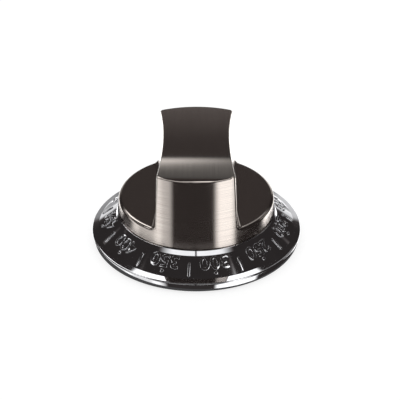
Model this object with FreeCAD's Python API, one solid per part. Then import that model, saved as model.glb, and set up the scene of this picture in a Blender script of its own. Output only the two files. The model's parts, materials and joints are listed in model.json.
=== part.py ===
import FreeCAD, Part
import math
import os

# Oven control knob: a cast grip body on a dial skirt, pushed onto a flatted control shaft.
# Millimetres, +Z up out of the oven panel. The origin is on the shaft axis in the plane the rim rests on.
# X runs across the grip bar, Y along it.

os.makedirs("parts", exist_ok=True)

# Round base of the body
body_radius = 25.8
body_wall = 3.0
seat_z = 9.9
shoulder_z = 15.7

# Grip bar
bar_crown_z = 36.0
crown_rise = 1.0
bar_waist_half = 10.75
flank_radius = 172.0
flank_draft_deg = 3.0
flank_foot_round = 1.6
body_edge_round = 1.1
bar_edge_chamfer = 0.3
bar_roof = 3.2

# Hub for the control shaft
hub_radius = 6.4
hub_end_z = 3.0
entry_radius = 3.4
entry_length = 7.0
flat_bore_radius = 3.2
flat_offset = 2.4
flat_bore_top_z = 24.0
mouth_chamfer = 0.5

# Ribs inside the body
rib_thickness = 2.2
rib_bottom_z = 13.0

# Dial skirt
skirt_gap = 0.3
lip_rise = 0.45
lip_width = 0.15
lip_reach = 0.85
lip_drop = 1.45
rim_radius = 35.0
rim_land_width = 2.1
rim_land_deg = 14.0
rim_edge_round = 0.5
rim_edge_z = 3.2
rim_edge_flats = 3
rim_lean_deg = 13.0
rim_foot_rise = 0.5
rim_foot_inset = 1.6
rim_foot_width = 4.0
skirt_wall = 2.0
flange_margin = 1.0

# Screws between skirt and body
screw_count = 4
first_screw_deg = 45.0
screw_inset = 5.4
screw_shank_radius = 1.45
screw_shank_length = 5.6
screw_head_radius = 2.9
screw_head_height = 1.9
screw_clearance = 0.3
screw_boss_radius = 3.5
screw_hole_spare = 0.5

# Leaf spring that grips the flat of the shaft
spring_thickness = 0.5
spring_width = 4.0
spring_length = 11.0
spring_foot = 1.6
spring_bow = 1.1
spring_pocket_depth = 1.5
spring_pocket_spare = 0.3
spring_bottom_z = 11.5

# Room that cutters take beyond the faces they cut, and how far ribs, hub and bosses run into their walls
overrun = 5.0
embed = 0.5

# What counts as level with a height or equal to a radius
level_within = 0.01

up = FreeCAD.Vector(0, 0, 1)


def point(x, y, z):
    return FreeCAD.Vector(x, y, z)


def rod(radius, bottom, top, x=0.0, y=0.0):
    return Part.makeCylinder(radius, top - bottom, point(x, y, bottom), up)


def block(x0, x1, y0, y1, z0, z1):
    return Part.makeBox(x1 - x0, y1 - y0, z1 - z0, point(x0, y0, z0))


def spun(edges):
    face = Part.Face(Part.Wire(edges))
    return face.revolve(point(0, 0, 0), up, 360)


def chain(corners):
    return [Part.LineSegment(a, b).toShape() for a, b in zip(corners, corners[1:])]


# Grip bar: the flanks are hollow arcs in plan that lean outward towards the shoulders
flank_slope = math.tan(math.radians(flank_draft_deg))


def scoop(side, inset, floor_z, foot_round):
    rise = bar_crown_z + overrun - floor_z
    spread = (bar_crown_z - floor_z) * flank_slope
    axis_x = side * (bar_waist_half + flank_radius)
    foot = flank_radius + inset - spread
    middle = point(axis_x, 0, floor_z)
    cutter = Part.makeCone(foot, foot + rise * flank_slope, rise, middle, up)
    if side < 0:
        cutter.rotate(middle, up, 180)
    if foot_round:
        rims = [e for e in cutter.Edges if e.BoundBox.ZMax < floor_z + level_within]
        cutter = cutter.makeFillet(foot_round, rims)
    return cutter


# Body blank with its two scooped shoulders and a gently crowned bar
bar_end_z = bar_crown_z - crown_rise
crown_radius = (body_radius ** 2 + crown_rise ** 2) / (2 * crown_rise)
blank = rod(body_radius, seat_z, bar_crown_z + overrun)
crown_half_width = body_radius + overrun
crown_middle = point(-crown_half_width, 0, bar_crown_z - crown_radius)
across = point(1, 0, 0)
crown = Part.makeCylinder(crown_radius, 2 * crown_half_width, crown_middle, across)
crown.rotate(crown_middle, across, 180)
blank = blank.common(crown)
for side in (-1, 1):
    blank = blank.cut(scoop(side, 0.0, shoulder_z, flank_foot_round))


# Rounded edges around the shoulders and up the four corners of the bar
def is_wall(face):
    return isinstance(face.Surface, Part.Cylinder) and abs(face.Surface.Radius - body_radius) < level_within


def is_rounded(edge):
    walls = [face for face in blank.ancestorsOfType(edge, Part.Face) if is_wall(face)]
    return len(walls) == 1 and seat_z + level_within < edge.BoundBox.ZMin < bar_end_z - level_within


blank = blank.makeFillet(body_edge_round, [e for e in blank.Edges if is_rounded(e)])

# Fine chamfer around the top of the bar
top_outline = [e for e in blank.Edges if e.BoundBox.ZMin > bar_end_z - level_within]
body = blank.makeChamfer(bar_edge_chamfer, top_outline)

# Hollow underside that follows the shoulders and the bar at an even wall
roof_z = bar_end_z - bar_roof
cavity = rod(body_radius - body_wall, seat_z, roof_z)
for side in (-1, 1):
    cavity = cavity.cut(scoop(side, body_wall, shoulder_z - body_wall, 0.0))
body = body.cut(cavity)

# Ribs from the hub to the end walls and the flanks
inner_radius = body_radius - body_wall
reach = inner_radius + body_wall / 2
half_rib = rib_thickness / 2
flank_reach = bar_waist_half - body_wall / 2
ribs = block(-half_rib, half_rib, -reach, reach, rib_bottom_z, roof_z + embed)
ribs = ribs.fuse(block(-flank_reach, flank_reach, -half_rib, half_rib, rib_bottom_z, roof_z + embed))
ribs = ribs.common(rod(reach, rib_bottom_z, roof_z + embed))

# Hub
hub = rod(hub_radius, hub_end_z, roof_z + embed)
body = body.fuse([ribs, hub])

# Screw bosses under the shoulders
screw_circle_radius = body_radius - screw_inset
screw_angles = [math.radians(first_screw_deg + 360 * i / screw_count) for i in range(screw_count)]
screw_places = [
    (screw_circle_radius * math.cos(a), screw_circle_radius * math.sin(a)) for a in screw_angles
]
boss_top_z = shoulder_z - body_wall / 2
bosses = [rod(screw_boss_radius, seat_z, boss_top_z, x, y) for x, y in screw_places]
bosses = [b.common(rod(reach, seat_z, boss_top_z)) for b in bosses]
body = body.fuse(bosses).removeSplitter()

# Screw holes in the bosses
flange_bottom_z = seat_z - skirt_wall
screw_tip_z = flange_bottom_z + screw_shank_length
screw_hole_radius = screw_shank_radius + screw_clearance
for x, y in screw_places:
    body = body.cut(rod(screw_hole_radius, seat_z, screw_tip_z + screw_hole_spare, x, y))

# Shaft bore: a round entry, then a bore with one flat
entry_top_z = hub_end_z + entry_length
flat_bore = rod(flat_bore_radius, entry_top_z, flat_bore_top_z)
flat_bore = flat_bore.common(
    block(-hub_radius, flat_offset, -hub_radius, hub_radius, entry_top_z, flat_bore_top_z)
)
entry = rod(entry_radius, hub_end_z, entry_top_z)
mouth = Part.makeCone(entry_radius + mouth_chamfer, entry_radius, mouth_chamfer, point(0, 0, hub_end_z), up)
body = body.cut(entry.fuse([flat_bore, mouth]))

# Pocket for the leaf spring behind the flat
pocket_back = flat_offset + spring_pocket_depth
pocket_half = spring_width / 2 + spring_pocket_spare
spring_top_z = spring_bottom_z + spring_length
pocket = block(
    flat_offset - spring_pocket_spare,
    pocket_back,
    -pocket_half,
    pocket_half,
    spring_bottom_z - spring_pocket_spare,
    spring_top_z + spring_pocket_spare,
)
body = body.cut(pocket)
body.exportStep("parts/knob_body.step")

# Leaf spring: two flat feet on the back of the pocket and a bow towards the shaft
bow_start_z = spring_bottom_z + spring_foot
bow_end_z = spring_top_z - spring_foot
bow_middle_z = (spring_bottom_z + spring_top_z) / 2
front = pocket_back - spring_thickness
half_width = spring_width / 2


def leaf_point(x, z):
    return point(x, -half_width, z)


outer_bow = Part.Arc(
    leaf_point(front, bow_start_z),
    leaf_point(front - spring_bow, bow_middle_z),
    leaf_point(front, bow_end_z),
)
inner_bow = Part.Arc(
    leaf_point(pocket_back, bow_end_z),
    leaf_point(pocket_back - spring_bow, bow_middle_z),
    leaf_point(pocket_back, bow_start_z),
)
lower_foot = chain(
    [
        leaf_point(pocket_back, bow_start_z),
        leaf_point(pocket_back, spring_bottom_z),
        leaf_point(front, spring_bottom_z),
        leaf_point(front, bow_start_z),
    ]
)
upper_foot = chain(
    [
        leaf_point(front, bow_end_z),
        leaf_point(front, spring_top_z),
        leaf_point(pocket_back, spring_top_z),
        leaf_point(pocket_back, bow_end_z),
    ]
)
leaf_edges = lower_foot + [outer_bow.toShape()] + upper_foot + [inner_bow.toShape()]
leaf = Part.Face(Part.Wire(leaf_edges)).extrude(point(0, spring_width, 0))
leaf.exportStep("parts/shaft_spring.step")

# Dial skirt: lip around the body, steep ring, cone, rim with a leaning side, and the seat flange inside
seat_radius = body_radius + skirt_gap
lip_z = seat_z + lip_rise
lip_foot_radius = seat_radius + lip_reach
lip_foot_z = lip_z - lip_drop
flange_inner_radius = screw_circle_radius - screw_head_radius - flange_margin
rim_inner_radius = rim_radius - rim_foot_width

# Edge of the rim: light flats around its round section, from the land over to the leaning side
land_turn = math.pi / 2 - math.radians(rim_land_deg)
lean_turn = -math.radians(rim_lean_deg)


def edge_point(angle):
    r = rim_radius - rim_edge_round + rim_edge_round * math.cos(angle)
    z = rim_edge_z + rim_edge_round * math.sin(angle)
    return point(r, 0, z)


rim_edge = [edge_point(land_turn * (1 - i / rim_edge_flats)) for i in range(rim_edge_flats + 1)]
rim_edge.append(edge_point(lean_turn))

# The land rises inward to the foot of the cone, and the side leans in towards the foot of the rim
cone_foot_r = rim_radius - rim_land_width
cone_foot_z = rim_edge[0].z + (rim_edge[0].x - cone_foot_r) * math.tan(math.radians(rim_land_deg))
rim_side_r = rim_edge[-1].x + (rim_foot_rise - rim_edge[-1].z) * math.tan(math.radians(rim_lean_deg))
rim_side = [point(rim_side_r, 0, rim_foot_rise), point(rim_radius - rim_foot_inset, 0, 0)]

# The cone runs from the foot of the lip to the land, and its underside is one wall below
cone_slope = (lip_foot_z - cone_foot_z) / (cone_foot_r - lip_foot_radius)
wall_across = skirt_wall * math.hypot(1, cone_slope)


def under_z(r):
    return lip_foot_z - (r - lip_foot_radius) * cone_slope - wall_across


under_foot_r = lip_foot_radius + (lip_foot_z - flange_bottom_z - wall_across) / cone_slope

top_corners = [
    point(flange_inner_radius, 0, flange_bottom_z),
    point(flange_inner_radius, 0, seat_z),
    point(seat_radius, 0, seat_z),
    point(seat_radius, 0, lip_z),
    point(seat_radius + lip_width, 0, lip_z),
    point(lip_foot_radius, 0, lip_foot_z),
    point(cone_foot_r, 0, cone_foot_z),
]
under_corners = [
    point(rim_inner_radius, 0, 0),
    point(rim_inner_radius, 0, under_z(rim_inner_radius)),
    point(under_foot_r, 0, flange_bottom_z),
    point(flange_inner_radius, 0, flange_bottom_z),
]
skirt = spun(chain(top_corners + rim_edge + rim_side + under_corners))
for x, y in screw_places:
    skirt = skirt.cut(rod(screw_hole_radius, flange_bottom_z - overrun, seat_z + overrun, x, y))
skirt.exportStep("parts/dial_skirt.step")

# Screws: pan heads under the flange, shanks up into the bosses
screws = []
for x, y in screw_places:
    head = rod(screw_head_radius, flange_bottom_z - screw_head_height, flange_bottom_z, x, y)
    shank = rod(screw_shank_radius, flange_bottom_z, screw_tip_z, x, y)
    screws.append(head.fuse(shank))
Part.makeCompound(screws).exportStep("parts/skirt_screws.step")

for name, shape in (("knob_body", body), ("dial_skirt", skirt), ("shaft_spring", leaf)):
    box = shape.BoundBox
    print(name, shape.isValid(), len(shape.Solids), round(shape.Volume), box)
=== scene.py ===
import json
import math

import bmesh
import bpy
from mathutils import Matrix, Vector

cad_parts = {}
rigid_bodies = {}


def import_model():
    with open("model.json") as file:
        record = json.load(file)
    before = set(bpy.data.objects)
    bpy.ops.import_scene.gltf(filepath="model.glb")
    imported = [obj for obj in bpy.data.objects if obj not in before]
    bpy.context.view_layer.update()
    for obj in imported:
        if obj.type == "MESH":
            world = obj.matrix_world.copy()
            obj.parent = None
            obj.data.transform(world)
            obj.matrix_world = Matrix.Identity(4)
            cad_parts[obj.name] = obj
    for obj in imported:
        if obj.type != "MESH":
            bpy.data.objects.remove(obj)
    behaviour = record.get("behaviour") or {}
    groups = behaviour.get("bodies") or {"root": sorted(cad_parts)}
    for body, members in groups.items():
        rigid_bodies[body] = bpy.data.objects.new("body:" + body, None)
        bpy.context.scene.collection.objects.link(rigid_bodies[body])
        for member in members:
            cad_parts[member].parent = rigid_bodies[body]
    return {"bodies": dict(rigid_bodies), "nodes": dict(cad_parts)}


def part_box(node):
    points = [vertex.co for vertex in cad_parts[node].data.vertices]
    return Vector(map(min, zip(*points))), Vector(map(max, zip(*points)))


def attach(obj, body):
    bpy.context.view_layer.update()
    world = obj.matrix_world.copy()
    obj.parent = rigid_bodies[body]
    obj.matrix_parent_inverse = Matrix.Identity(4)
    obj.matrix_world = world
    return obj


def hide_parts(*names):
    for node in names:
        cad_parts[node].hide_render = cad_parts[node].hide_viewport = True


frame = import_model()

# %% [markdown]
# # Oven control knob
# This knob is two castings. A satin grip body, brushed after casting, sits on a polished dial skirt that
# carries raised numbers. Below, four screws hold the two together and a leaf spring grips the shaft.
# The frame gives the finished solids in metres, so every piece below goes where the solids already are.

mm = 0.001
scene = bpy.context.scene
nodes = frame["nodes"]
framework = set(nodes.values()) | set(frame["bodies"].values())
for stock in [o for o in bpy.data.objects if o not in framework]:
    bpy.data.objects.remove(stock)
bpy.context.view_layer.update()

# %% [markdown]
# ## Node helpers
# A finish in Blender is a small network of nodes. Wired line by line it is hard to read, so a few short
# helpers do what comes back in every network: add a node with its inputs, reckon, blend, and make noise.


# %% Node helpers
def add_node(tree, kind, settings=None, **inputs):
    """Add a node and fill its inputs, each called by its name or by its place: i0 is the first socket."""
    node = tree.nodes.new(kind)
    for key, value in (settings or {}).items():
        setattr(node, key, value)
    for key, value in inputs.items():
        by_place = key[0] == "i" and key[1:].isdigit()
        socket = node.inputs[int(key[1:])] if by_place else node.inputs[key]
        if isinstance(value, bpy.types.NodeSocket):
            tree.links.new(value, socket)
        else:
            socket.default_value = value
    return node


def maths(tree, operation, first, second=0.0):
    node = add_node(tree, "ShaderNodeMath", {"operation": operation}, i0=first, i1=second)
    return node.outputs[0]


def smooth_step(tree, value, start, end):
    """0 before the start and 1 after the end, with soft bends; a start beyond the end turns it round."""
    soft = {"interpolation_type": "SMOOTHSTEP"}
    node = add_node(tree, "ShaderNodeMapRange", soft, i0=value, i1=start, i2=end, i3=0.0, i4=1.0)
    return node.outputs[0]


def spread(tree, value, low, high):
    """A value between 0 and 1, laid out between low and high."""
    node = add_node(tree, "ShaderNodeMapRange", {"clamp": True}, i0=value, i1=0.0, i2=1.0, i3=low, i4=high)
    return node.outputs[0]


mix_places = {"FLOAT": ("i2", "i3", 0), "VECTOR": ("i4", "i5", 1), "RGBA": ("i6", "i7", 2)}


def mix(tree, data_type, factor, first, second):
    """Blend two values. The mix node has sockets of its own for each type of data."""
    first_place, second_place, output = mix_places[data_type]
    inputs = {"i0": factor, first_place: first, second_place: second}
    return add_node(tree, "ShaderNodeMix", {"data_type": data_type}, **inputs).outputs[output]


def noise(tree, place, scale, detail):
    return add_node(tree, "ShaderNodeTexNoise", Vector=place, Scale=scale, Detail=detail).outputs[0]


def stretched_noise(tree, place, scales, detail):
    """Noise with another scale along each axis, which draws it out into streaks."""
    drawn_out = add_node(tree, "ShaderNodeMapping", Vector=place, Scale=scales).outputs[0]
    return noise(tree, drawn_out, 1.0, detail)


print("the mix node blends", ", ".join(mix_places))

# %% [markdown]
# ## What the finishes share
# All four finishes are metals, and no real metal has one even colour. So each starts with a principled shader
# at full metallic, wanders between a dark and a light tone, and has a relief far too fine to model.


# %% What the finishes share
def start_metal(name, colour):
    """A metal with its mean colour on the socket, where a pattern is linked later."""
    material = bpy.data.materials.new(name)
    material.use_nodes = True
    tree = material.node_tree
    shader = tree.nodes["Principled BSDF"]
    shader.inputs["Base Color"].default_value = (*colour, 1.0)
    shader.inputs["Metallic"].default_value = 1.0
    return material, tree, shader


def two_tones(tree, shader, pattern, dark_at, dark, light_at, light):
    """Let the colour run from a dark tone to a light one while a pattern rises."""
    ramp = add_node(tree, "ShaderNodeValToRGB", i0=pattern)
    low, high = ramp.color_ramp.elements
    low.position = dark_at
    low.color = (*dark, 1.0)
    high.position = light_at
    high.color = (*light, 1.0)
    tree.links.new(ramp.outputs[0], shader.inputs["Base Color"])


def fine_relief(tree, shader, pattern, strength, depth):
    bump = add_node(tree, "ShaderNodeBump", Strength=strength, Distance=depth, Height=pattern)
    tree.links.new(bump.outputs[0], shader.inputs["Normal"])


print("metal helpers ready")

# %% [markdown]
# ## Satin brushed nickel
# The grip body is brushed: round and round on its wall, lengthwise on the bar and the shoulders. Brushing
# leaves fine grooves, and light spreads across them but not along them. A principled shader does that with
# its anisotropic value and a tangent laid across the grooves. The tangent is upright on the wall and runs
# across the bar on level faces, so a mask from the surface normal chooses between the two.

# %% Brushing of the nickel
body_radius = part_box("knob_body")[1].x
# Per metre, first along the grooves and then across them
groove_scales = (70.0, 5200.0, 1.0)
streak_scales = (26.0, 3400.0, 1.0)


def brushing(tree, level):
    """Fine grooves and coarser streaks, around the shaft on the wall and along the bar on level faces."""
    place = add_node(tree, "ShaderNodeTexCoord").outputs["Object"]
    spot = add_node(tree, "ShaderNodeSeparateXYZ", i0=place).outputs
    around = maths(tree, "MULTIPLY", maths(tree, "ARCTAN2", spot[0], spot[1]), body_radius)
    on_wall = add_node(tree, "ShaderNodeCombineXYZ", i0=around, i1=spot[2], i2=0.0).outputs[0]
    on_level = add_node(tree, "ShaderNodeCombineXYZ", i0=spot[1], i1=spot[0], i2=0.0).outputs[0]
    flow = mix(tree, "VECTOR", level, on_wall, on_level)
    grooves = stretched_noise(tree, flow, groove_scales, 3.0)
    streaks = stretched_noise(tree, flow, streak_scales, 2.0)
    return grooves, streaks


print("brushing runs around a radius of", round(body_radius / mm, 3), "mm")


# %% Satin brushed nickel
def brushed_nickel():
    material, tree, shader = start_metal("brushed_nickel_satin", (0.64, 0.58, 0.53))
    normal = add_node(tree, "ShaderNodeNewGeometry").outputs["Normal"]
    rise = add_node(tree, "ShaderNodeSeparateXYZ", i0=normal).outputs[2]
    # 0 on the wall and the bar's flanks, 1 on level faces
    level = smooth_step(tree, maths(tree, "ABSOLUTE", rise), 0.6, 0.9)
    grooves, streaks = brushing(tree, level)
    upright = (0.0, 0.0, 1.0)
    across_bar = (1.0, 0.0, 0.0)
    tree.links.new(mix(tree, "VECTOR", level, upright, across_bar), shader.inputs["Tangent"])
    shader.inputs["Anisotropic"].default_value = 1.0
    wall_haze = spread(tree, streaks, 0.12, 0.19)
    level_haze = spread(tree, streaks, 0.05, 0.17)
    tree.links.new(mix(tree, "FLOAT", level, wall_haze, level_haze), shader.inputs["Roughness"])
    # Level faces differ less in tone than the wall does
    calm = spread(tree, streaks, 0.3, 0.7)
    shade = mix(tree, "FLOAT", level, streaks, calm)
    two_tones(tree, shader, shade, 0.3, (0.575, 0.516, 0.478), 0.7, (0.705, 0.642, 0.591))
    fine_relief(tree, shader, grooves, strength=0.05, depth=0.02 * mm)
    return material


satin = brushed_nickel()
print("satin nickel has", len(satin.node_tree.nodes), "nodes")

# %% [markdown]
# ## Polished chrome
# The skirt is plated and polished, so it mirrors the room. A perfect mirror looks false: real plating has a
# very slight haze that differs from place to place and a trace of the polishing wheel. Low roughness with a
# little noise in it gives that.


# %% Polished chrome
def polished_chrome():
    material, tree, shader = start_metal("polished_chrome_plate", (0.78, 0.78, 0.80))
    place = add_node(tree, "ShaderNodeTexCoord").outputs["Object"]
    haze = noise(tree, place, 180.0, 4.0)
    swirl = noise(tree, place, 900.0, 2.0)
    two_tones(tree, shader, haze, 0.35, (0.74, 0.74, 0.76), 0.65, (0.81, 0.81, 0.83))
    tree.links.new(spread(tree, haze, 0.015, 0.075), shader.inputs["Roughness"])
    fine_relief(tree, shader, swirl, strength=0.02, depth=0.01 * mm)
    return material


chrome = polished_chrome()
print("chrome has", len(chrome.node_tree.nodes), "nodes")

# %% [markdown]
# ## Steel for the hidden pieces
# The leaf spring is blued spring steel, rolled along its length, so its noise is drawn out that way. The
# screws are zinc plated, a paler steel with the small crystals that plating leaves. Voronoi cells give each
# crystal its own roughness.


# %% Spring steel and zinc plate
def spring_steel():
    material, tree, shader = start_metal("spring_steel_leaf", (0.42, 0.43, 0.46))
    place = add_node(tree, "ShaderNodeTexCoord").outputs["Object"]
    rolled = stretched_noise(tree, place, (900.0, 2600.0, 60.0), 3.0)
    two_tones(tree, shader, rolled, 0.3, (0.34, 0.36, 0.41), 0.7, (0.48, 0.48, 0.50))
    tree.links.new(spread(tree, rolled, 0.24, 0.42), shader.inputs["Roughness"])
    fine_relief(tree, shader, rolled, strength=0.1, depth=0.02 * mm)
    return material


def zinc_plate():
    material, tree, shader = start_metal("zinc_plated_screw", (0.66, 0.67, 0.68))
    place = add_node(tree, "ShaderNodeTexCoord").outputs["Object"]
    cells = add_node(tree, "ShaderNodeTexVoronoi", Vector=place, Scale=2400.0).outputs["Color"]
    crystals = add_node(tree, "ShaderNodeSeparateXYZ", i0=cells).outputs[0]
    cloud = noise(tree, place, 500.0, 3.0)
    two_tones(tree, shader, cloud, 0.3, (0.58, 0.60, 0.63), 0.7, (0.72, 0.71, 0.67))
    tree.links.new(spread(tree, crystals, 0.22, 0.36), shader.inputs["Roughness"])
    fine_relief(tree, shader, crystals, strength=0.06, depth=0.02 * mm)
    return material


spring_finish = spring_steel()
zinc = zinc_plate()
nodes["shaft_spring"].material_slots[0].material = spring_finish
print("steel finishes:", spring_finish.name, zinc.name)

# %% [markdown]
# ## Making a piece
# Each piece is modelled in a bmesh and then handed over the same way: merge what touches, shade it smooth
# with sharp creases, and let it ride on the one body that the knob has. Where a flat face meets a fine
# rounding, weighted normals let the wide face rule, so that it stays flat right up to the rounding.

# %% Making a piece
merge_gap = 0.002 * mm


def as_mesh(name, bm):
    mesh = bpy.data.meshes.new(name)
    bm.to_mesh(mesh)
    bm.free()
    return mesh


def hand_over(name, bm, material, crease_deg):
    bmesh.ops.remove_doubles(bm, verts=bm.verts, dist=merge_gap)
    mesh = as_mesh(name, bm)
    mesh.materials.clear()
    mesh.materials.append(material)
    mesh.shade_smooth()
    mesh.set_sharp_from_angle(angle=math.radians(crease_deg))
    piece = bpy.data.objects.new(name, mesh)
    scene.collection.objects.link(piece)
    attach(piece, "root")
    print(name, "has", len(mesh.polygons), "faces")
    return piece


def let_wide_faces_rule(piece):
    weights = piece.modifiers.new("wide faces rule", "WEIGHTED_NORMAL")
    weights.mode = "FACE_AREA"
    weights.keep_sharp = True


print("points closer than", merge_gap / mm, "mm become one")

# %% [markdown]
# ## Grip body
# The body's solid already has its waisted bar, scooped shoulders and rounded corners, so it is copied and
# not modelled twice. The copy's loose triangles are merged first. Then weighted normals let the wide faces
# rule the shading, and the fine chamfer around the bar's top reads as the soft edge that brushing leaves.

# %% Grip body
body_bm = bmesh.new()
body_bm.from_mesh(nodes["knob_body"].data)
grip = hand_over("grip_body", body_bm, satin, 30.0)
# The solid's own normals go, and the weighted ones are worked out from the merged faces
if "custom_normal" in grip.data.attributes:
    grip.data.attributes.remove(grip.data.attributes["custom_normal"])
let_wide_faces_rule(grip)
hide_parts("knob_body")

# %% [markdown]
# ## Dial skirt
# The skirt is a turned shape, so half of its section is drawn once and spun around the shaft. The section
# starts as a face with a few corners. A vertex bevel rounds each corner as far as it is round on the real
# one: the edge of the rim clearly, the lip and the foot only as a fine break that catches light. The two
# corners at the ends of the cone stay sharp.

# %% Driving sizes of the dial skirt
rim_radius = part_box("dial_skirt")[1].x
lip_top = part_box("dial_skirt")[1].z
seat_gap = 0.3 * mm
seat_z = 9.9 * mm
flange_bottom = 7.9 * mm
flange_radius = 16.5 * mm
lip_width = 0.15 * mm
lip_flare = 0.85 * mm
lip_drop = 1.45 * mm
land_width = 2.1 * mm
land_slope = math.radians(14.0)
edge_round = 0.5 * mm
edge_z = 3.2 * mm
side_lean = math.radians(13.0)
foot_rise = 0.5 * mm
foot_inset = 1.6 * mm
inside_inset = 4.0 * mm
skirt_wall = 2.0 * mm
print("skirt is", round(2 * rim_radius / mm, 2), "mm across and", round(lip_top / mm, 2), "mm high")

# %% Corners of the dial skirt
seat_radius = body_radius + seat_gap
lip_foot_radius = seat_radius + lip_flare
lip_foot_z = lip_top - lip_drop
foot_outside = rim_radius - foot_inset
foot_inside = rim_radius - inside_inset
edge_centre = rim_radius - edge_round
cone_foot_radius = rim_radius - land_width
land_edge_z = edge_z + edge_round / math.cos(land_slope)
cone_foot_z = land_edge_z + (edge_centre - cone_foot_radius) * math.tan(land_slope)
side_edge_radius = edge_centre + edge_round / math.cos(side_lean)
# The land and the leaning side meet in a corner outside the rim's rounded edge
land_axis_rise = land_edge_z + edge_centre * math.tan(land_slope) - edge_z
corner_radius = side_edge_radius + land_axis_rise * math.tan(side_lean)
corner_radius /= 1 + math.tan(land_slope) * math.tan(side_lean)
corner_z = land_edge_z - (corner_radius - edge_centre) * math.tan(land_slope)
side_foot_radius = side_edge_radius - (edge_z - foot_rise) * math.tan(side_lean)
cone_angle = math.atan2(lip_foot_z - cone_foot_z, cone_foot_radius - lip_foot_radius)
wall_across = skirt_wall / math.cos(cone_angle)
under_foot = lip_foot_radius + (lip_foot_z - wall_across - flange_bottom) / math.tan(cone_angle)
foot_under_z = lip_foot_z - (foot_inside - lip_foot_radius) * math.tan(cone_angle) - wall_across
print("cone slopes at", round(math.degrees(cone_angle), 2), "degrees")

# %% Section of the dial skirt
sharp = 0.0
fine_break = 0.06 * mm
flange_break = 0.1 * mm
inside_round = 0.2 * mm
foot_round = 0.25 * mm
# A vertex bevel is set by how far it runs along the sides, which for the rim's arc is its tangent
corner_from_centre = math.hypot(corner_radius - edge_centre, corner_z - edge_z)
edge_reach = math.sqrt(corner_from_centre ** 2 - edge_round ** 2)
section = [
    (flange_radius, flange_bottom, flange_break),
    (flange_radius, seat_z, flange_break),
    (seat_radius, seat_z, sharp),
    (seat_radius, lip_top, fine_break),
    (seat_radius + lip_width, lip_top, fine_break),
    (lip_foot_radius, lip_foot_z, sharp),
    (cone_foot_radius, cone_foot_z, sharp),
    (corner_radius, corner_z, edge_reach),
    (side_foot_radius, foot_rise, foot_round),
    (foot_outside, 0.0, foot_round),
    (foot_inside, 0.0, inside_round),
    (foot_inside, foot_under_z, inside_round),
    (under_foot, flange_bottom, inside_round),
]
skirt_bm = bmesh.new()
corners = [skirt_bm.verts.new((r, 0.0, z)) for r, z, _ in section]
skirt_bm.faces.new(corners)
for corner, (_, _, reach) in zip(corners, section):
    if reach:
        bmesh.ops.bevel(
            skirt_bm,
            geom=[corner],
            offset=reach,
            offset_type="OFFSET",
            segments=8,
            profile=0.5,
            affect="VERTICES",
            material=-1,
        )
bmesh.ops.remove_doubles(skirt_bm, verts=skirt_bm.verts, dist=merge_gap)
bmesh.ops.delete(skirt_bm, geom=skirt_bm.faces[:], context="FACES_ONLY")
print("section has", len(skirt_bm.edges), "edges")


# %% Spin of the dial skirt
def spin_once_around(bm, steps):
    """Turn an outline about the upright axis and close the seam."""
    bmesh.ops.spin(
        bm,
        geom=bm.verts[:] + bm.edges[:],
        cent=(0.0, 0.0, 0.0),
        axis=(0.0, 0.0, 1.0),
        angle=2 * math.pi,
        steps=steps,
        use_merge=True,
    )
    bmesh.ops.remove_doubles(bm, verts=bm.verts, dist=merge_gap)


spin_once_around(skirt_bm, 240)
bmesh.ops.recalc_face_normals(skirt_bm, faces=skirt_bm.faces)
skirt = hand_over("polished_skirt", skirt_bm, chrome, 20.0)
let_wide_faces_rule(skirt)
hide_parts("dial_skirt")

# %% [markdown]
# ## Raised marks on the dial
# The numbers, ticks and dots are cast with the skirt and stand a little proud of its cone. Each mark is made
# flat first and then wrapped: its height runs down the slope and its width around the shaft. The tops point
# outward, so the number under the panel's mark can be read from outside.

# %% Wrapping marks onto the cone
mark_rise = 0.28 * mm
mark_sink = 0.12 * mm
cone_length = math.hypot(cone_foot_radius - lip_foot_radius, lip_foot_z - cone_foot_z)
cone_middle_radius = lip_foot_radius + cone_length / 2 * math.cos(cone_angle)
marks_bm = bmesh.new()


def wrap_on_cone(verts, turn_deg):
    """Lay flat points on the cone, turned from the front towards the right."""
    for vert in verts:
        across, down, out = vert.co
        radius = lip_foot_radius + down * math.cos(cone_angle) + out * math.sin(cone_angle)
        height = lip_foot_z - down * math.sin(cone_angle) + out * math.cos(cone_angle)
        turn = math.radians(turn_deg) - across / cone_middle_radius
        vert.co = (radius * math.sin(turn), -radius * math.cos(turn), height)


def take_in(bm, mesh):
    """Move a loose mesh into a bmesh, and give its new points."""
    before = len(bm.verts)
    bm.from_mesh(mesh)
    bpy.data.meshes.remove(mesh)
    bm.verts.ensure_lookup_table()
    return bm.verts[before:]


print("cone is", round(cone_length / mm, 2), "mm long")

# %% [markdown]
# ## Numbers
# A text object gives plain, even letters with rounded edges, which is how cast numbers look once they are
# polished. It is made a mesh straight away, because a text can't be bent around a cone, and stretched to the
# width and height of the dial's own numbers.

# %% Numbers
digit_height = 4.55 * mm
digit_pitch = 3.3 * mm
digit_foot = 0.3 * mm
word_gap = 0.2 * mm
widest_word = 12.0 * mm
# Degrees around the shaft, from the front towards the right
first_turn = 106.7
turn_step = 31.7
words_around = ["150", "200", "250", "300", "350", "400", "450", "500", "BROIL", "OFF"]


def text_mesh(word):
    """Plain raised letters, in the font's own units."""
    curve = bpy.data.curves.new("word", "FONT")
    curve.body = word
    curve.align_x = "CENTER"
    curve.extrude = 0.03
    curve.bevel_depth = 0.02
    curve.bevel_resolution = 2
    curve.offset = 0.005
    curve.resolution_u = 5
    carrier = bpy.data.objects.new("word", curve)
    scene.collection.objects.link(carrier)
    bpy.context.view_layer.update()
    evaluated_word = carrier.evaluated_get(bpy.context.evaluated_depsgraph_get())
    mesh = bpy.data.meshes.new_from_object(evaluated_word)
    bpy.data.objects.remove(carrier)
    bpy.data.curves.remove(curve)
    return mesh


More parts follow.
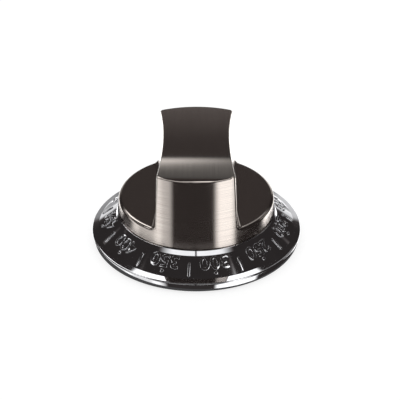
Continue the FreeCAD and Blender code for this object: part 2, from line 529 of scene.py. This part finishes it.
def raised_word(word):
    mesh = text_mesh(word)
    xs = [v.co.x for v in mesh.vertices]
    ys = [v.co.y for v in mesh.vertices]
    zs = [v.co.z for v in mesh.vertices]
    width = min(digit_pitch * len(word) - word_gap, widest_word)
    wide = width / (max(xs) - min(xs))
    tall = digit_height / (max(ys) - min(ys))
    deep = (mark_rise + mark_sink) / (max(zs) - min(zs))
    mesh.transform(Matrix.Translation((-(max(xs) + min(xs)) / 2, -min(ys), -min(zs))))
    mesh.transform(Matrix.Diagonal((wide, tall, deep, 1.0)))
    mesh.transform(Matrix.Translation((0.0, digit_foot, -mark_sink)))
    return mesh


for index, word in enumerate(words_around):
    wrap_on_cone(take_in(marks_bm, raised_word(word)), first_turn - turn_step * index)
print(len(words_around), "words on the dial")

# %% [markdown]
# ## Ticks and dots
# Between the numbers stands a tick, and beyond each number a dot. Both are a circle pulled apart to a length,
# which for a dot is nothing, then raised and rounded on top.

# %% Ticks between the numbers, dots beyond them
tick_width = 0.9 * mm
tick_start = 2.2 * mm
tick_end = 7.0 * mm
dot_width = 1.2 * mm
dot_place = 5.9 * mm
mark_round = 0.2 * mm


def raised_bar(width, start, end):
    bm = bmesh.new()
    ring = bmesh.ops.create_circle(bm, cap_ends=True, segments=20, radius=width / 2)
    near = start + width / 2
    far = end - width / 2
    for vert in ring["verts"]:
        vert.co.y += far if vert.co.y > 0 else near
        vert.co.z = -mark_sink
    top = bmesh.ops.extrude_face_region(bm, geom=bm.faces[:])
    lifted = [item for item in top["geom"] if isinstance(item, bmesh.types.BMVert)]
    bmesh.ops.translate(bm, vec=(0.0, 0.0, mark_rise + mark_sink), verts=lifted)
    bmesh.ops.recalc_face_normals(bm, faces=bm.faces)
    rim = [e for e in bm.edges if all(v in lifted for v in e.verts)]
    bmesh.ops.bevel(bm, geom=rim, offset=mark_round, segments=4, profile=0.5, affect="EDGES", material=-1)
    return as_mesh("mark", bm)


for index in range(len(words_around)):
    turn = first_turn - turn_step * index
    dot = raised_bar(dot_width, dot_place - dot_width / 2, dot_place + dot_width / 2)
    wrap_on_cone(take_in(marks_bm, dot), turn)
    tick = raised_bar(tick_width, tick_start, tick_end)
    wrap_on_cone(take_in(marks_bm, tick), turn - turn_step / 2)
hand_over("dial_marks", marks_bm, chrome, 50.0)

# %% [markdown]
# ## Screws
# Four pan-head screws hold the skirt from below. Each is turned from a short outline with a crowned head. The
# head stays open at first, so that it can be filled around a cross, and the cross is then drawn in as a
# tapered recess. A boolean cut would do it too, but leaves less even faces.

# %% A turned screw
screw_low, screw_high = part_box("skirt_screws")
head_radius = 2.9 * mm
head_height = 1.9 * mm
crown_radius = 2.05 * mm
crown_height = 0.75 * mm
shank_radius = 1.45 * mm
tip_radius = 0.9 * mm
tip_length = 0.8 * mm
head_under = screw_low.z + head_height


def turned_screw():
    """Shank and head, closed at the tip and open at the head, with the head's rim."""
    bm = bmesh.new()
    outline = [
        (crown_radius, screw_low.z),
        (head_radius, screw_low.z + crown_height),
        (head_radius, head_under),
        (shank_radius, head_under),
        (shank_radius, screw_high.z - tip_length),
        (tip_radius, screw_high.z),
    ]
    points = [bm.verts.new((r, 0.0, z)) for r, z in outline]
    for first, second in zip(points, points[1:]):
        bm.edges.new((first, second))
    spin_once_around(bm, 32)
    ends = [e for e in bm.edges if e.is_boundary]
    tip_rim = [e for e in ends if e.verts[0].co.z > head_under]
    head_rim = [e for e in ends if e.verts[0].co.z < head_under]
    bmesh.ops.contextual_create(bm, geom=tip_rim)
    return bm, head_rim


print("screws are", round((screw_high.z - screw_low.z) / mm, 2), "mm long")

# %% The cross recess
recess_half = 0.45 * mm
recess_reach = 1.75 * mm
recess_depth = 1.1 * mm
recess_taper = 0.6


def sink_cross(bm, head_rim):
    """Fill the head around a cross, then draw the cross in, narrower at its bottom."""
    arm = ((recess_half, recess_half), (recess_half, recess_reach), (-recess_half, recess_reach))
    cross = []
    for quarter in range(4):
        turn = Matrix.Rotation(quarter * math.pi / 2, 3, "Z")
        cross += [bm.verts.new(turn @ Vector((x, y, screw_low.z))) for x, y in arm]
    loop = [bm.edges.new((cross[i], cross[(i + 1) % len(cross)])) for i in range(len(cross))]
    bmesh.ops.triangle_fill(bm, edges=head_rim + loop, use_beauty=True)
    sunk = bmesh.ops.extrude_edge_only(bm, edges=loop)["geom"]
    for vert in [item for item in sunk if isinstance(item, bmesh.types.BMVert)]:
        vert.co.x *= recess_taper
        vert.co.y *= recess_taper
        vert.co.z = screw_low.z + recess_depth
    bottom_rim = [item for item in sunk if isinstance(item, bmesh.types.BMEdge)]
    bmesh.ops.contextual_create(bm, geom=[e for e in bottom_rim if e.is_boundary])
    bmesh.ops.recalc_face_normals(bm, faces=bm.faces)


print("recess is", round(recess_depth / mm, 2), "mm deep")

# %% Four screws in their places
first_screw_turn = 45
# The screws stand on the diagonals, so in x a head reaches ring / sqrt(2) + head_radius
screw_ring = (screw_high.x - head_radius) * math.sqrt(2)
screws_bm = bmesh.new()
for quarter in range(4):
    angle = math.radians(first_screw_turn + 90 * quarter)
    x = screw_ring * math.cos(angle)
    y = screw_ring * math.sin(angle)
    screw_bm, open_rim = turned_screw()
    sink_cross(screw_bm, open_rim)
    # One arm of each cross points at the shaft
    to_shaft = Matrix.Rotation(angle, 3, "Z")
    bmesh.ops.rotate(screw_bm, verts=screw_bm.verts, matrix=to_shaft, cent=(0.0, 0.0, 0.0))
    bmesh.ops.translate(screw_bm, vec=(x, y, 0.0), verts=screw_bm.verts)
    take_in(screws_bm, as_mesh("screw", screw_bm))
screws = hand_over("cross_screws", screws_bm, zinc, 30.0)
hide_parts("skirt_screws")

# %% [markdown]
# ## Studio for metal
# Polished metal has almost no colour of its own: it shows the room. So the room is designed like a
# photographer's tent, dark with a few soft panels, and only reflections see it. The camera sees a white
# backdrop and a white floor with a soft shadow. Most of the floor's white is its own glow, so that it needs
# no more light than the knob does. The rest comes from the light, and there the shadow shows.


# %% Floor
def put_in_studio(name, bm, paint):
    """A painted sheet that belongs to the studio and not to the knob."""
    mesh = as_mesh(name, bm)
    mesh.materials.append(paint)
    sheet = bpy.data.objects.new(name, mesh)
    scene.collection.objects.link(sheet)
    return sheet


def glowing_matte(name, grey, glow):
    """Paint with no shine at all that also glows white."""
    paint = bpy.data.materials.new(name)
    paint.use_nodes = True
    matte = paint.node_tree.nodes["Principled BSDF"]
    matte.inputs["Base Color"].default_value = (grey, grey, grey, 1.0)
    matte.inputs["Roughness"].default_value = 1.0
    matte.inputs["Specular IOR Level"].default_value = 0.0
    matte.inputs["Emission Color"].default_value = (1.0, 1.0, 1.0, 1.0)
    matte.inputs["Emission Strength"].default_value = glow
    return paint


floor_bm = bmesh.new()
bmesh.ops.create_grid(floor_bm, x_segments=1, y_segments=1, size=3.0)
floor = put_in_studio("floor", floor_bm, glowing_matte("white_floor", 0.3, 0.75))
floor.location.z = -0.1 * mm
floor.visible_glossy = False
print("floor lies at", round(floor.location.z / mm, 2), "mm")

# %% [markdown]
# ## Contact shade
# Where the rim stands on a table, its side mirrors the dark gap below it. The metal here does not see the
# floor, so a dark disc under the rim takes the gap's place. Only reflections see the disc.


# %% Contact shade
def show_only_in_metal(sheet):
    sheet.visible_camera = False
    sheet.visible_diffuse = False
    sheet.visible_shadow = False


shade_margin = 0.5 * mm
shade_shift = -0.5 * mm
shade_z = -0.05 * mm
shade_bm = bmesh.new()
bmesh.ops.create_circle(shade_bm, cap_ends=True, segments=96, radius=rim_radius + shade_margin)
shade = put_in_studio("contact_shade", shade_bm, glowing_matte("dark_contact", 0.02, 0.06))
shade.location = (shade_shift, 0.0, shade_z)
show_only_in_metal(shade)
print("contact shade reaches", round((rim_radius + shade_margin) / mm, 2), "mm")

# %% [markdown]
# ## Soft panels around the knob
# Each panel is a patch of the world in a given direction, so it needs no lamp and no mesh, and it can be as
# soft at its edges as a real cloth panel. A panel runs between two azimuths and two heights. The panels
# differ in strength because on metal each one is seen as a highlight of its own.

# %% A soft panel
world = bpy.data.worlds.new("metal_studio")
scene.world = world
world.use_nodes = True
# Sampled as a lamp, the world could not tell reflections from other light
world.cycles.sampling_method = "NONE"
sky = world.node_tree
sky.nodes.clear()
heading = add_node(sky, "ShaderNodeTexCoord").outputs["Generated"]
height_angle = maths(sky, "ARCSINE", add_node(sky, "ShaderNodeSeparateXYZ", i0=heading).outputs[2])
degree = math.radians(1.0)


def soft_panel(left, right, side_edge, low, low_edge, high, high_edge, level, sag=0.0):
    """A patch of light between two azimuths, 0 towards the camera and 90 to the right, all in degrees.

    Each edge is soft to that many degrees on both sides; the side edges may be a pair. Sag lowers the
    panel's ends, by the square of their azimuth in radians."""
    centre = (left + right) / 2
    half = (right - left) / 2
    upright = {"rotation_type": "Z_AXIS"}
    turned = add_node(sky, "ShaderNodeVectorRotate", upright, Vector=heading, Angle=-centre * degree)
    spot = add_node(sky, "ShaderNodeSeparateXYZ", i0=turned.outputs[0]).outputs
    azimuth = maths(sky, "ARCTAN2", spot[0], maths(sky, "MULTIPLY", spot[1], -1.0))
    left_edge, right_edge = side_edge if isinstance(side_edge, tuple) else (side_edge, side_edge)
    from_left = smooth_step(sky, azimuth, (-half - left_edge) * degree, (-half + left_edge) * degree)
    from_right = smooth_step(sky, azimuth, (half + right_edge) * degree, (half - right_edge) * degree)
    beside = maths(sky, "MULTIPLY", from_left, from_right)
    raised = height_angle
    if sag:
        from_front = maths(sky, "ADD", azimuth, centre * degree)
        drop = maths(sky, "MULTIPLY", maths(sky, "POWER", from_front, 2.0), sag)
        raised = maths(sky, "ADD", height_angle, drop)
    above = smooth_step(sky, raised, (low - low_edge) * degree, (low + low_edge) * degree)
    below = smooth_step(sky, raised, (high + high_edge) * degree, (high - high_edge) * degree)
    patch = maths(sky, "MULTIPLY", beside, maths(sky, "MULTIPLY", above, below))
    return maths(sky, "MULTIPLY", patch, level)


print("world is", world.name)

# %% Panels around the knob
# Left, right, side edge or edges, low, low edge, high, high edge, level, and sag if there is any
panels = {
    "left card": (-109, -36, 4, -42, 6, -6, 5, 0.63),
    "left card, far ridge": (-104, -93, 4, -60, 5, -8, 5, 0.5),
    "left card, near ridge": (-64, -52, 4, -60, 5, -8, 5, 0.5),
    "left card, above": (-80, -54, 4, 24, 4, 49, 3, 1.5),
    "left edge light": (-102, -43, 4, 25, 2, 34, 2, 0.4),
    "left edge light, far": (-126, -100, 3, 8, 2, 21, 2, 0.4),
    "left floor": (-165, -46, 5, -78, 6, -38, 4, 0.9),
    "right card": (29.5, 57, 6, -42, 6, -4, 5, 1.5),
    "right card, above": (39, 63, 2, 24, 4, 57, 3, 2.2),
    "right edge light, far": (100, 126, 3, 8, 2, 21, 2, 0.4),
    "right floor": (29, 88, 4, -78, 6, -42, 6, 1.5),
    "front left": (-41, -1.6, (11, 0.9), 13, 1.0, 22, 1.0, 1.1, 0.104),
    "front right": (0.6, 41, (0.9, 11), 13, 1.0, 22, 1.0, 1.1, 0.104),
    "top behind": (150, 210, 3, 53.3, 0.8, 67, 3, 1.6),
    "top left": (212, 242, 3, 35, 2, 68, 2, 2.2),
    "top right": (118, 148, 3, 35, 2, 68, 2, 0.42),
    "floor behind": (116, 222, 6, -36, 2, -17, 3, 2.2),
    "floor behind, low": (155, 205, 6, -76, 6, -36, 2, 2.2),
    "streak left": (192, 204, 2, -7, 1.5, 23.5, 1.5, 0.22),
    "streak left, low": (192, 215, 3, -7, 1.5, -1, 1.5, 0.8),
    "streak left, grey": (192, 215, 3, -20, 3, -7, 1.5, 0.35),
    "streak right": (156, 168, 2, -7, 1.5, 23.5, 1.5, 0.6),
    "streak right, low": (145, 168, 3, -7, 1.5, -1, 1.5, 0.8),
    "streak right, grey": (145, 168, 3, -20, 3, -7, 1.5, 0.35),
    "haze behind": (152, 208, 8, -9, 3, 22, 8, 0.1),
    "haze above": (171, 189, 5, 18, 8, 45, 5, 0.028),
    "front floor": (-40, 40, 10, -85, 5, -8, 8, 0.01),
    "overhead": (-200, 200, 5, 80, 6, 100, 3, 0.32),
}
room_level = 0.03
light = room_level
for panel in panels.values():
    light = maths(sky, "ADD", light, soft_panel(*panel))
print(len(panels), "panels around the knob")

# %% [markdown]
# ## What each ray sees
# Reflections see the room, every other ray sees plain white. The room's dark parts are a little warm, as a
# room lit by its own walls is, and the panels are neutral.

# %% What each ray sees
tinted_below = 0.3
warm_dark = (0.93, 0.81, 0.80, 1.0)
neutral = (1.0, 1.0, 1.0, 1.0)
ray = add_node(sky, "ShaderNodeLightPath").outputs
room = mix(sky, "FLOAT", ray["Is Glossy Ray"], 1.0, light)
seen = maths(sky, "MAXIMUM", room, ray["Is Camera Ray"])
lit = smooth_step(sky, seen, room_level, tinted_below)
tint = mix(sky, "RGBA", lit, warm_dark, neutral)
backdrop = add_node(sky, "ShaderNodeBackground", Color=tint, Strength=seen)
world_out = add_node(sky, "ShaderNodeOutputWorld")
sky.links.new(backdrop.outputs[0], world_out.inputs[0])
print("world has", len(sky.nodes), "nodes")

# %% [markdown]
# ## Card behind the bar
# One real card stands close behind the knob. From there only the crowned top of the bar sees it, as a band
# with a soft start that fades towards the front edge. A panel of the world is endlessly far away and would
# light nearly the whole top at once. The camera, the floor and shadows do not see the card.

# %% Card behind the bar
card_low = Vector((-75 * mm, 100 * mm, 107.2 * mm))
card_high = Vector((75 * mm, 100 * mm, 138 * mm))
card_paint = bpy.data.materials.new("fading_card")
card_bm = bmesh.new()
bmesh.ops.create_grid(card_bm, x_segments=1, y_segments=1, size=0.5)
card = put_in_studio("back_card", card_bm, card_paint)
card.location = (card_low + card_high) / 2
card.scale = (card_high.x - card_low.x, card_high.z - card_low.z, 1.0)
card.rotation_euler = (math.pi / 2, 0.0, 0.0)
show_only_in_metal(card)
print("card behind the bar:", card.name)

# %% Glow of the card
band_level = 3.9
band_fade = 7.0
glow_low = 0.2
glow_high = 0.085
# Places on the card are shares of its width and height
fade_from = 0.74
fade_to = 0.24
start_height = 0.2
card_paint.use_nodes = True
card_tree = card_paint.node_tree
card_tree.nodes.clear()
on_card = add_node(card_tree, "ShaderNodeTexCoord").outputs["Generated"]
card_spot = add_node(card_tree, "ShaderNodeSeparateXYZ", i0=on_card).outputs
fade_up = maths(card_tree, "POWER", maths(card_tree, "SUBTRACT", 1.0, card_spot[1]), band_fade)
fade_right = smooth_step(card_tree, card_spot[0], fade_from, fade_to)
card_start = smooth_step(card_tree, card_spot[1], 0.0, start_height)
card_band = maths(card_tree, "MULTIPLY", maths(card_tree, "MULTIPLY", fade_up, fade_right), band_level)
card_whole = maths(card_tree, "ADD", card_band, spread(card_tree, card_spot[1], glow_low, glow_high))
card_level = maths(card_tree, "MULTIPLY", card_whole, card_start)
card_glow = add_node(card_tree, "ShaderNodeEmission", Strength=card_level)
card_out = add_node(card_tree, "ShaderNodeOutputMaterial")
card_tree.links.new(card_glow.outputs[0], card_out.inputs[0])
print("card's glow has", len(card_tree.nodes), "nodes")

# %% [markdown]
# ## Camera
# The picture was taken from in front and about thirty degrees above, with a long lens, so near and far
# parts keep nearly the same scale.

# %% Camera
aim = Vector((1.22 * mm, 0.0, 13.2 * mm))
distance = 400.0 * mm
lift = math.radians(31.4)
camera_data = bpy.data.cameras.new("camera")
camera_data.sensor_width = 36.0
camera_data.lens = 108.0
camera_data.clip_start = 0.01
camera = bpy.data.objects.new("camera", camera_data)
camera.location = aim + Vector((0.0, -distance * math.cos(lift), distance * math.sin(lift)))
camera.rotation_euler = (math.pi / 2 - lift, 0.0, 0.0)
scene.collection.objects.link(camera)
scene.camera = camera
scene.view_settings.view_transform = "Standard"
print("camera at", [round(c / mm, 1) for c in camera.location])
